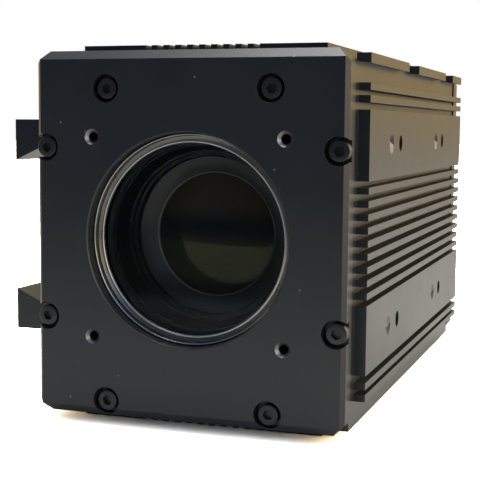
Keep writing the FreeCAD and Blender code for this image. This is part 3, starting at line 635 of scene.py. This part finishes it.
@dataclass(frozen=True)
class CoatedGlass:
    """A dark coated lens: near black, with a painted olive reflection low down and a painted warmer one on
    top.

    Attributes:
        name: The material's name.
        painted_low_reflection: The olive colour painted in its lower half as the reflection of the table and
            room.
        deep: The colour across the middle.
        painted_high_reflection: The warmer colour painted in the upper part as a reflection.
        index: The index of refraction, low because of the coating.
        tint: The colour of its reflection.
        low_reflection_top: The heights where the painted low reflection starts and is full, in millimetres
            from the axis.
        low_reflection_foot: The same at its lower end.
        high_reflection_rise: The same for the painted reflection in the upper part.
        polish: The least and greatest roughness.
    """

    name: str
    painted_low_reflection: Colour
    deep: Colour
    painted_high_reflection: Colour
    index: float = 1.25
    tint: Colour = (1.0, 1.0, 0.72)
    low_reflection_top: tuple[float, float] = (0.5, -3.5)
    low_reflection_foot: tuple[float, float] = (-16.0, -11.0)
    high_reflection_rise: tuple[float, float] = (2.0, 9.0)
    polish: tuple[float, float] = (0.01, 0.05)

    def make(self, grain: bpy.types.NodeTree) -> bpy.types.Material:
        """Builds the material.

        Args:
            grain: The shared grain group.

        Returns:
            The material.
        """
        made = Shader.start(self.name)
        made.set(IOR=self.index, Specular_Tint=(*self.tint, 1.0))
        place = made.coordinates()
        parts = made.add("ShaderNodeSeparateXYZ")
        made.join(place, parts.inputs["Vector"])

        def fade(start: float, end: float) -> Socket:
            """Rises from 0 to 1 between two heights.

            Args:
                start: The height of 0, in millimetres from the lens axis.
                end: The height of 1.

            Returns:
                The number.
            """
            return made.span(parts.outputs["Z"], interpolation_type="SMOOTHSTEP",
                             From_Min=AXIS_HEIGHT + start * MM, From_Max=AXIS_HEIGHT + end * MM)

        mottle = made.group(grain, place, Mottle_Scale=90.0).outputs["Mottle"]
        # Painted reflection: the olive colour below the middle and the warmer one on top are painted by
        # height, standing in for the room reflected in the lens.
        painted_reflection_mask = made.times(made.times(fade(*self.low_reflection_top), fade(*self.low_reflection_foot)), mottle)
        upper = made.mix(fade(*self.high_reflection_rise), self.deep, self.painted_high_reflection)
        made.feed(made.mix(painted_reflection_mask, upper, self.painted_low_reflection), "Base Color")
        made.roughen(mottle, *self.polish)
        return made.material


@dataclass
class Finishes:
    """Every finish of the camera, made once and picked by the name of its slot.

    Attributes:
        grain: The grain group that all finishes share.
        made: The materials by slot or look.
    """

    grain: bpy.types.NodeTree = field(default_factory=anodised_grain)
    made: dict[str, bpy.types.Material] = field(default_factory=dict)

    def __post_init__(self) -> None:
        """Builds the materials."""
        connector_axis = (0.017, AXIS_HEIGHT - 0.014)
        kinds = {
            "black_anodised": Anodised("black_anodised", (0.011, 0.0136, 0.0172), (0.0168, 0.0204, 0.0252),
                                       0.34, 0.04, 0.0002, rims=True),
            "black_screw": Anodised("black_oxide_screw", (0.008, 0.009, 0.01), (0.02, 0.022, 0.025),
                                    0.33, 0.02, 0.0001),
            "black_ring": Turned("black_turned_ring", (0.004, 0.0045, 0.006), 0.0, 0.35, 0.25, specular=0.2),
            # The cell ring gets a painted highlight line at a radius of 17.15 mm.
            "cell_ring": Turned("lens_cell_ring", (0.004, 0.005, 0.0056), 0.0, 0.33, 0.2,
                                specular=0.35, line=17.15),
            "edge_ring": Turned("worn_turned_ring", (0.3, 0.29, 0.28), 1.0, 0.25, 0.1),
            "bright_ring": Turned("ground_bright_ring", (0.42, 0.42, 0.42), 1.0, 0.28, 0.015),
            "lens_black": Turned("matt_black_barrel", (0.002, 0.0024, 0.003), 0.0, 0.3, 0.35, specular=0.2),
            "bright_steel": Turned("ground_steel", (0.55, 0.55, 0.55), 1.0, 0.25, 0.2),
            "motor_case": Turned("plated_case", (0.42, 0.42, 0.44), 1.0, 0.35, 0.1),
            "pillar_brass": Turned("pillar_brass", (0.72, 0.53, 0.25), 1.0, 0.3, 0.1),
            "connector_shell": Turned("connector_shell", (0.09, 0.09, 0.1), 1.0, 0.35, 0.2, connector_axis),
            "contact_insert": Turned("contact_insert", (0.5, 0.38, 0.16), 1.0, 0.3, 0.05),
            "seal_rubber": Moulded("seal_rubber", (0.015, 0.015, 0.015), 0.7),
            "circuit_board": Moulded("circuit_board", (0.01, 0.06, 0.025), 0.4, 900.0),
            "chip_black": Moulded("chip_black", (0.012, 0.012, 0.012), 0.5, 700.0),
            "sensor_ceramic": Moulded("sensor_ceramic", (0.06, 0.06, 0.08), 0.3, 500.0),
            "window_glass": ClearGlass(),
            # The lens's first and last colours are painted reflections; the middle one is its own near
            # black.
            "lens_glass": CoatedGlass("coated_lens", (0.03, 0.035, 0.016), (0.012, 0.011, 0.01),
                                      (0.036, 0.027, 0.014)),
        }
        for slot, kind in kinds.items():
            self.made[slot] = kind.make(self.grain)

    def dress_nodes(self) -> None:
        """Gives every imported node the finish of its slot."""
        for part in frame["record"]["subparts"]:
            node = frame["nodes"][part["node"]]
            node.data.materials.clear()
            node.data.materials.append(self.made[part["material_slot"]])
            LOG.info("dressed %s as %s", part["node"], part["material_slot"])

    def dress(self, piece: bpy.types.Object, slot: str, look: str = "") -> None:
        """Gives a new piece the finish of a slot, or another look where one is given.

        Args:
            piece: The new piece.
            slot: The record's material slot.
            look: The finish, where it isn't the slot's own.
        """
        piece.data.materials.append(self.made[look or slot])


def finish_mesh(shape: bmesh.types.BMesh, name: str, smooth: bool, angle: float = 35.0) -> bpy.types.Object:
    """Turns a bmesh into an object at the origin.

    Args:
        shape: The finished bmesh, which is freed.
        name: The object's name.
        smooth: Whether faces are shaded smooth, with edges sharp above the angle.
        angle: The sharp angle in degrees.

    Returns:
        The new object.
    """
    bmesh.ops.remove_doubles(shape, verts=shape.verts, dist=1e-7)
    bmesh.ops.recalc_face_normals(shape, faces=shape.faces)
    if smooth:
        limit = math.radians(angle)
        for face in shape.faces:
            face.smooth = True
        for edge in shape.edges:
            if len(edge.link_faces) == 2 and edge.calc_face_angle() > limit:
                edge.smooth = False
    mesh = bpy.data.meshes.new(name)
    shape.to_mesh(mesh)
    shape.free()
    piece = bpy.data.objects.new(name, mesh)
    bpy.context.scene.collection.objects.link(piece)
    LOG.info("built %s with %d faces", name, len(mesh.polygons))
    return piece


def turned_piece(name: str, profile: Profile, sharp: float = 35.0, steps: int = 192) -> bpy.types.Object:
    """Spins a closed or axis-ended profile round the lens axis.

    Args:
        name: The object's name.
        profile: Radius and depth behind the front face, in millimetres.
        sharp: The angle in degrees above which edges stay sharp.
        steps: The number of steps round the axis.

    Returns:
        The turned object.
    """
    shape = bmesh.new()
    points = [shape.verts.new((radius * MM, FACE + depth * MM, AXIS_HEIGHT)) for radius, depth in profile]
    edges = [shape.edges.new((points[i], points[i + 1])) for i in range(len(points) - 1)]
    closed = profile[0][0] > 0.0
    if closed:
        edges.append(shape.edges.new((points[-1], points[0])))
    bmesh.ops.spin(
        shape, geom=points + edges, cent=(0.0, 0.0, AXIS_HEIGHT), axis=(0.0, 1.0, 0.0), dvec=(0.0, 0.0, 0.0),
        angle=math.tau, steps=steps, use_merge=True, use_duplicate=False)
    return finish_mesh(shape, name, True, sharp)


def arc(radius: float, curve: float, vertex: float, steps: int = 10) -> Profile:
    """Points of a spherical face from its rim to the axis, in millimetres.

    Args:
        radius: The rim's radius.
        curve: The sphere's radius, for a face that bulges to the front.
        vertex: The depth of the face on the axis.
        steps: The number of spans.

    Returns:
        Radius and depth of each point.
    """
    points = []
    for index in range(steps, -1, -1):
        out = radius * index / steps
        points.append((out, vertex + (curve - math.sqrt(curve * curve - out * out))))
    return points


@dataclass
class WindowStack:
    """The window, its bright bezel ring and its retaining ring.

    Attributes:
        wall: Radius of the rings in the opening, in millimetres.
        ring_inner: Bore of the retaining ring.
        ring_front: Depth of the retaining ring's front face.
        bezel_inner: Bore of the bezel ring.
        bezel_outer: Outer radius of the bezel ring.
        bezel_front: Depth of the bezel ring's inner edge.
        bezel_rim: Depth of its outer edge.
        glass_front: Depth of the window's front face.
        glass_rear: Depth of its rear face.
        sharp: The angle in degrees above which the rings' edges stay sharp.
        inside: The retaining ring's inner front edge, as offsets across and back.
        outside: Its outer front edge, likewise.
        rounded: The bezel ring's rounded front, likewise from its inner edge.
    """

    wall: float = 27.95
    ring_inner: float = 27.3
    ring_front: float = 3.4
    bezel_inner: float = 25.3
    bezel_outer: float = 27.2
    bezel_front: float = 4.1
    bezel_rim: float = 5.1
    glass_front: float = 5.4
    glass_rear: float = 8.4
    sharp: float = 50.0
    inside: Corners = ((0.0, 0.3), (0.1, 0.1), (0.28, 0.0))
    outside: Corners = ((-0.24, 0.06), (-0.06, 0.24), (0.0, 0.5))
    rounded: Corners = (
        (0.0, 1.1), (0.05, 0.8), (0.13, 0.58), (0.24, 0.42), (0.4, 0.36), (0.6, 0.4), (0.9, 0.5))

    def build(self, finishes: Finishes) -> None:
        """Builds and dresses the three pieces.

        Args:
            finishes: The camera's finishes.
        """
        ring = turned_piece("retaining_ring", [
            *((self.ring_inner + out, self.ring_front + back) for out, back in self.inside),
            *((self.wall + out, self.ring_front + back) for out, back in self.outside),
            (self.wall, self.glass_front), (self.ring_inner, self.glass_front)], self.sharp)
        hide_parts("window_retaining_ring")
        finishes.dress(ring, "black_ring", "edge_ring")
        bezel = turned_piece("bezel_ring", [
            *((self.bezel_inner + out, self.bezel_front + back) for out, back in self.rounded),
            (self.bezel_outer, self.bezel_rim), (self.bezel_outer, self.glass_front),
            (self.bezel_inner, self.glass_front)], self.sharp)
        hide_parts("window_bezel_ring")
        finishes.dress(bezel, "bright_ring")
        pane = turned_piece("window_pane", [
            (0.0, self.glass_front), (self.wall, self.glass_front), (self.wall, self.glass_rear),
            (0.0, self.glass_rear)])
        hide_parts("window_glass")
        finishes.dress(pane, "window_glass")
        for piece in (ring, bezel, pane):
            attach(piece, ROOT)


@dataclass
class FrontLens:
    """The smooth mouth of the barrel, the front lens and its ring.

    Attributes:
        mouth: Radius of the barrel's mouth at its front, in millimetres.
        throat: Radius at the end of the mouth.
        ledge: Radius of the ledge behind the mouth.
        cell: Radius of the lens cell.
        mouth_front: Depth of the mouth's front edge.
        ledge_front: Depth of the step from the mouth to the ledge.
        cell_front: Depth of the step from the ledge to the cell.
        cell_end: Depth of the lining's rear edge.
        slope: How far before a step its slope starts.
        glass_edge: Radius of the clear lens.
        curve: Radius of the lens's front face.
        rim: Depth of the clear lens's rim.
        glass_rear: Depth of the lens's rear face.
        bend: Radius and depth of the bend in the ring's face.
        ring_front: Depth of the ring's front edge.
        chamfer: The ring's outer chamfer, across and back.
        lip: Thickness of the ring's lip round the clear lens.
        skin: How far the lining's face and the pieces in the cell stand off the barrel's own.
        back: How far the lining's back stands off it.
    """

    mouth: float = 24.5
    throat: float = 23.3
    ledge: float = 22.6
    cell: float = 21.8
    mouth_front: float = 11.45
    ledge_front: float = 17.0
    cell_front: float = 18.9
    cell_end: float = 20.8
    slope: float = 0.1
    glass_edge: float = 16.8
    curve: float = 60.0
    rim: float = 23.7
    glass_rear: float = 33.7
    bend: tuple[float, float] = (18.9, 21.8)
    ring_front: float = 20.95
    chamfer: tuple[float, float] = (0.35, 0.2)
    lip: float = 0.15
    skin: float = 0.05
    back: float = 0.01

    def build(self, finishes: Finishes) -> None:
        """Builds and dresses the pieces.

        Args:
            finishes: The camera's finishes.
        """
        skin, back = self.skin, self.back
        lining = turned_piece("barrel_lining", [
            (self.mouth - skin, self.mouth_front), (self.throat - skin, self.ledge_front - self.slope),
            (self.ledge - skin, self.ledge_front + skin), (self.ledge - skin, self.cell_front - skin),
            (self.cell - skin, self.cell_front + skin), (self.cell - skin, self.cell_end),
            (self.cell - back, self.cell_end), (self.cell - back, self.cell_front + back),
            (self.ledge - back, self.cell_front - self.slope),
            (self.ledge - back, self.ledge_front + back),
            (self.throat - back, self.ledge_front - skin), (self.mouth - back, self.mouth_front)])
        finishes.dress(lining, "lens_black")
        fit = self.cell - skin
        across, deep = self.chamfer
        ring = turned_piece("front_ring", [
            self.bend, (self.cell - across, self.ring_front), (fit, self.ring_front + deep),
            (fit, self.rim), (self.glass_edge, self.rim), (self.glass_edge, self.rim - self.lip)])
        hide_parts("front_lens_ring")
        finishes.dress(ring, "black_ring", "cell_ring")
        vertex = self.rim - (self.curve - math.sqrt(self.curve ** 2 - self.glass_edge ** 2))
        outline = arc(fit, self.curve, vertex)[::-1] + [(fit, self.glass_rear), (0.0, self.glass_rear)]
        lens = turned_piece("front_lens_glass", outline)
        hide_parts("front_lens")
        finishes.dress(lens, "lens_glass")
        for piece in (lining, ring, lens):
            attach(piece, ROOT)


@dataclass
class CapScrews:
    """The socket head screws of the plates and rails.

    Attributes:
        head: Radius of a head in millimetres.
        height: Height of a head.
        shank: Radius of a shank.
        length: Length below the head.
        flats: The socket across its flats.
        socket: Depth of the socket.
        edge: How far the head's edge is rounded.
        blank: Radius of the round face that the socket is cut from, as a share of its flats.
        sunk: How far a head's face lies behind the plate's.
        segments: The number of steps round a head.
        sharp: The angle in degrees above which edges stay sharp.
        turn_step: How far each screw's socket is turned past the last one's, in degrees.
        plate: Places of a plate's screws across and above the lens axis, for one side.
        cover_face: Depth of the rear cover's outer face from the middle.
        rail_face: The rails' outer face, across.
        rail_rows: Distance of the rails' screws behind the front face.
        rail_middle: Height of the middle between the rails above the lens axis.
        rail_offset: Height of a rail's screws above that middle.
    """

    head: float = 2.75
    height: float = 3.0
    shank: float = 1.2
    length: float = 10.0
    flats: float = 2.5
    socket: float = 1.4
    edge: float = 0.28
    blank: float = 0.62
    sunk: float = 0.8
    segments: int = 36
    sharp: float = 30.0
    turn_step: float = 17.0
    plate: tuple[tuple[float, tuple[float, float]], ...] = ((22.65, (39.3, -43.9)), (40.3, (23.8, -21.8)))
    cover_face: float = 84.95
    rail_face: float = -55.85
    rail_rows: tuple[float, float] = (38.8, 111.0)
    rail_middle: float = 1.6
    rail_offset: float = 26.275

    def spots(self) -> list[tuple[Place, Vector]]:
        """Lists the places of the heads' faces.

        Returns:
            The way each head points and the middle of its face, in millimetres.
        """
        columns = [(side * out, AXIS_MM + up) for out, ups in self.plate for side in (1, -1) for up in ups]
        made = [(Place.FRONT, Vector((x, FACE_MM + self.sunk, z))) for x, z in columns]
        made += [(Place.REAR, Vector((x, self.cover_face - self.sunk, z))) for x, z in columns]
        for along in self.rail_rows:
            for side in (1, -1):
                up = AXIS_MM + self.rail_middle + side * self.rail_offset
                made.append((Place.LEFT, Vector((self.rail_face + self.sunk, FACE_MM + along, up))))
        return made

    @staticmethod
    def round_faces(part: bmesh.types.BMesh, height: float) -> list[bmesh.types.BMFace]:
        """Finds the round face at one height.

        Args:
            part: The screw, its head's underside at 0.
            height: The height.

        Returns:
            The face in a list.
        """
        return [item for item in part.faces
                if all(abs(v.co.z - height) < NEAR for v in item.verts) and len(item.verts) > SIDE_CORNERS]

    @staticmethod
    def raised(part: bmesh.types.BMesh, faces: list[bmesh.types.BMFace], by: float) -> None:
        """Extrudes faces along Z.

        Args:
            part: The screw.
            faces: The faces.
            by: How far they move.
        """
        made = bmesh.ops.extrude_face_region(part, geom=faces)
        verts = [item for item in made["geom"] if isinstance(item, bmesh.types.BMVert)]
        bmesh.ops.translate(part, verts=verts, vec=(0.0, 0.0, by))

    def one(self, shape: bmesh.types.BMesh, place: Place, spot: Vector, turn: float) -> None:
        """Adds one screw to the shape.

        Args:
            shape: The bmesh that takes the screw.
            place: Which way its head points.
            spot: The middle of the head's face, in millimetres.
            turn: The socket's angle.
        """
        part = bmesh.new()
        bmesh.ops.create_circle(part, cap_ends=True, cap_tris=False, segments=self.segments,
                                radius=self.head)
        self.raised(part, part.faces[:], self.height)
        top = self.round_faces(part, self.height)[0]
        bmesh.ops.bevel(part, geom=top.edges[:], offset=self.edge, offset_type="OFFSET", segments=3,
                        profile=0.5, affect="EDGES", material=-1, clamp_overlap=True)
        bmesh.ops.inset_region(part, faces=self.round_faces(part, 0.0), thickness=self.head - self.shank)
        foot = self.round_faces(part, 0.0)
        self.raised(part, foot, -self.length)
        bmesh.ops.delete(part, geom=foot, context="FACES_ONLY")
        self.cut_socket(part)
        pointing = {
            Place.FRONT: Matrix.Rotation(math.radians(90.0), 4, "X"),
            Place.REAR: Matrix.Rotation(math.radians(-90.0), 4, "X"),
            Place.LEFT: Matrix.Rotation(math.radians(-90.0), 4, "Y"),
        }[place]
        seat = Matrix.Rotation(turn, 4, "Z") @ Matrix.Translation((0.0, 0.0, -self.height))
        bmesh.ops.transform(part, matrix=Matrix.Translation(spot) @ pointing @ seat, verts=part.verts)
        bmesh.ops.scale(part, vec=(MM, MM, MM), verts=part.verts)
        mesh = bpy.data.meshes.new("one_screw")
        part.to_mesh(mesh)
        part.free()
        shape.from_mesh(mesh)
        bpy.data.meshes.remove(mesh)

    def cut_socket(self, part: bmesh.types.BMesh) -> None:
        """Sinks the hexagon socket into the head's face.

        Args:
            part: The screw, its face at the head's height.
        """
        face = max((item for item in part.faces if item.calc_center_median().z > self.height - NEAR),
                   key=lambda item: item.calc_area())
        bmesh.ops.inset_region(part, faces=[face],
                               thickness=self.head - self.edge - self.flats * self.blank)
        corner = self.flats / math.sqrt(3.0)
        for vert in face.verts:
            angle = math.atan2(vert.co.y, vert.co.x) % (math.pi / 3.0) - math.pi / 6.0
            reach = self.flats / 2.0 / math.cos(angle)
            flat = Vector((vert.co.x, vert.co.y)).normalized() * min(reach, corner)
            vert.co.x, vert.co.y = flat.x, flat.y
        sunk = bmesh.ops.extrude_face_region(part, geom=[face])
        floor = [item for item in sunk["geom"] if isinstance(item, bmesh.types.BMVert)]
        bmesh.ops.delete(part, geom=[face], context="FACES_ONLY")
        bmesh.ops.translate(part, verts=floor, vec=(0.0, 0.0, -self.socket))

    def build(self, finishes: Finishes) -> None:
        """Builds and dresses the screws as one piece.

        Args:
            finishes: The camera's finishes.
        """
        shape = bmesh.new()
        for index, (place, spot) in enumerate(self.spots()):
            self.one(shape, place, spot, math.radians(self.turn_step * index))
        screws = finish_mesh(shape, "cap_screw_set", True, self.sharp)
        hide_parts("cap_screws")
        finishes.dress(screws, "black_screw")
        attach(screws, ROOT)


@dataclass
class Studio:
    """The camera, the pale floor, the surroundings and the lamps.

    Attributes:
        place: The camera's place in metres.
        turn: The camera's angles in degrees.
        lens: The focal length on a sensor of the width below, in millimetres.
        sensor: The sensor's width.
        shift: The lens shift that the framing needs.
        floor_gain: How bright the floor looks to the camera for the light that falls on it.
        floor_half: Half the floor's width in metres.
        floor_front: Where the floor ends in front of the object.
        sheet_front: Where its white part ends in front of the object.
        sheet_fade: Half the width over which it turns dark there.
        aim: What the lamps point at.
    """

    place: Triple = (0.110444, -0.364332, 0.08069)
    turn: Triple = (84.346, -0.4912, 19.028)
    lens: float = 86.768
    sensor: float = 36.0
    shift: tuple[float, float] = (-0.002768, 0.002691)
    floor_gain: float = 7.0
    floor_half: float = 3.0
    floor_front: float = -0.55
    sheet_front: float = -0.3
    sheet_fade: float = 0.01
    aim: Triple = (0.0, -0.03, 0.05)

    def camera(self) -> None:
        """Sets the camera at the photograph's viewing angle."""
        data = bpy.data.cameras.new("view")
        data.lens = self.lens
        data.sensor_width = self.sensor
        data.sensor_fit = "HORIZONTAL"
        data.shift_x, data.shift_y = self.shift
        data.clip_start = 0.01
        camera = bpy.data.objects.new("view", data)
        camera.location = self.place
        camera.rotation_euler = tuple(math.radians(angle) for angle in self.turn)
        bpy.context.scene.collection.objects.link(camera)
        bpy.context.scene.camera = camera

    def floor(self) -> None:
        """Lays the pale floor, which shows the object's shadow and turns white away from it."""
        shape = bmesh.new()
        bmesh.ops.create_grid(shape, x_segments=1, y_segments=1, size=self.floor_half)
        bmesh.ops.translate(shape, verts=shape.verts, vec=(0.0, self.floor_front + self.floor_half, 0.0))
        floor = finish_mesh(shape, "floor", False)
        made = Shader.start("pale_floor")
        rays = made.add("ShaderNodeLightPath")
        place = made.add("ShaderNodeSeparateXYZ")
        made.join(made.coordinates(), place.inputs["Vector"])
        sheet = made.span(place.outputs["Y"], From_Min=self.sheet_front - self.sheet_fade,
                          From_Max=self.sheet_front + self.sheet_fade)
        tone = made.mix(rays.outputs["Is Camera Ray"], made.mix(sheet, FLOOR_DARK, FLOOR_WHITE),
                        tuple(self.floor_gain * part for part in FLOOR_SEEN))
        matt = made.add("ShaderNodeBsdfDiffuse")
        made.join(tone, matt.inputs["Color"])
        end = made.material.node_tree.nodes["Material Output"]
        made.join(matt.outputs["BSDF"], end.inputs["Surface"])
        floor.data.materials.append(made.material)

    def surroundings(self) -> None:
        """Makes a white background, with the tones of a room for everything but the camera."""
        world = bpy.data.worlds.new("room")
        bpy.context.scene.world = world
        world.use_nodes = True
        nodes, links = world.node_tree.nodes, world.node_tree.links
        direction = nodes.new("ShaderNodeTexCoord")
        parts = nodes.new("ShaderNodeSeparateXYZ")
        links.new(direction.outputs["Generated"], parts.inputs["Vector"])
        mixed = self.tones(world.node_tree, parts.outputs["Y"], DEPTH_TONES)
        for axis, stops in (("X", ACROSS_TONES), ("Z", RAISED_TONES)):
            both = nodes.new("ShaderNodeMix")
            both.data_type = "RGBA"
            both.blend_type = "MULTIPLY"
            both.inputs["Factor"].default_value = 1.0
            links.new(mixed, both.inputs["A"])
            links.new(self.tones(world.node_tree, parts.outputs[axis], stops), both.inputs["B"])
            mixed = both.outputs["Result"]
        room = nodes.new("ShaderNodeBackground")
        links.new(mixed, room.inputs["Color"])
        shown = nodes["Background"]
        shown.inputs["Color"].default_value = (1.0, 1.0, 1.0, 1.0)
        shown.inputs["Strength"].default_value = 1.0
        rays = nodes.new("ShaderNodeLightPath")
        pick = nodes.new("ShaderNodeMixShader")
        links.new(rays.outputs["Is Camera Ray"], pick.inputs["Fac"])
        links.new(room.outputs["Background"], pick.inputs[1])
        links.new(shown.outputs["Background"], pick.inputs[2])
        links.new(pick.outputs["Shader"], nodes["World Output"].inputs["Surface"])

    @staticmethod
    def tones(tree: bpy.types.NodeTree, source: Socket, stops: list[tuple[float, Colour]]) -> Socket:
        """Colours one part of a direction.

        Args:
            tree: The world's nodes.
            source: The part, from -1 to 1.
            stops: Positions from 0 to 1 and their colours, in rising order.

        Returns:
            The colour's output.
        """
        half = tree.nodes.new("ShaderNodeMapRange")
        half.inputs["From Min"].default_value = -1.0
        tree.links.new(source, half.inputs["Value"])
        ramp = tree.nodes.new("ShaderNodeValToRGB")
        tree.links.new(half.outputs["Result"], ramp.inputs["Fac"])
        band = ramp.color_ramp
        while len(band.elements) < len(stops):
            band.elements.new(0.5)
        for element, (spot, colour) in zip(band.elements, stops):
            element.position = spot
            element.color = (*colour, 1.0)
        return ramp.outputs["Color"]

    def lamp(self, name: str, place: Triple, size: float, watts: float, colour: Colour) -> None:
        """Adds one soft lamp that points at the object.

        Args:
            name: The lamp's name.
            place: Its place in metres.
            size: Its width in metres.
            watts: Its power.
            colour: Its colour.
        """
        data = bpy.data.lights.new(name, "AREA")
        data.size = size
        data.energy = watts
        data.color = colour
        lamp = bpy.data.objects.new(name, data)
        lamp.location = place
        toward = Vector(self.aim) - Vector(place)
        lamp.rotation_euler = toward.to_track_quat("-Z", "Y").to_euler()
        bpy.context.scene.collection.objects.link(lamp)

    def build(self) -> None:
        """Sets the whole stage."""
        self.camera()
        self.floor()
        self.surroundings()
        self.lamp("overhead", place=(0.0, 0.08, 1.2), size=0.7, watts=13.5, colour=(1.0, 1.0, 1.0))
        self.lamp("side_glow", place=(0.8, -0.38, 0.3), size=0.6, watts=2.2, colour=(1.0, 0.86, 0.62))
        bpy.context.scene.view_settings.view_transform = "Standard"


def main() -> None:
    """Builds the camera's looks in order."""
    logging.basicConfig(level=logging.INFO, format="%(name)s: %(message)s")
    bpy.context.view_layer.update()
    Studio().build()
    finishes = Finishes()
    finishes.dress_nodes()
    for assembly in (WindowStack(), FrontLens(), CapScrews()):
        assembly.build(finishes)


if __name__ == "__main__":
    main()
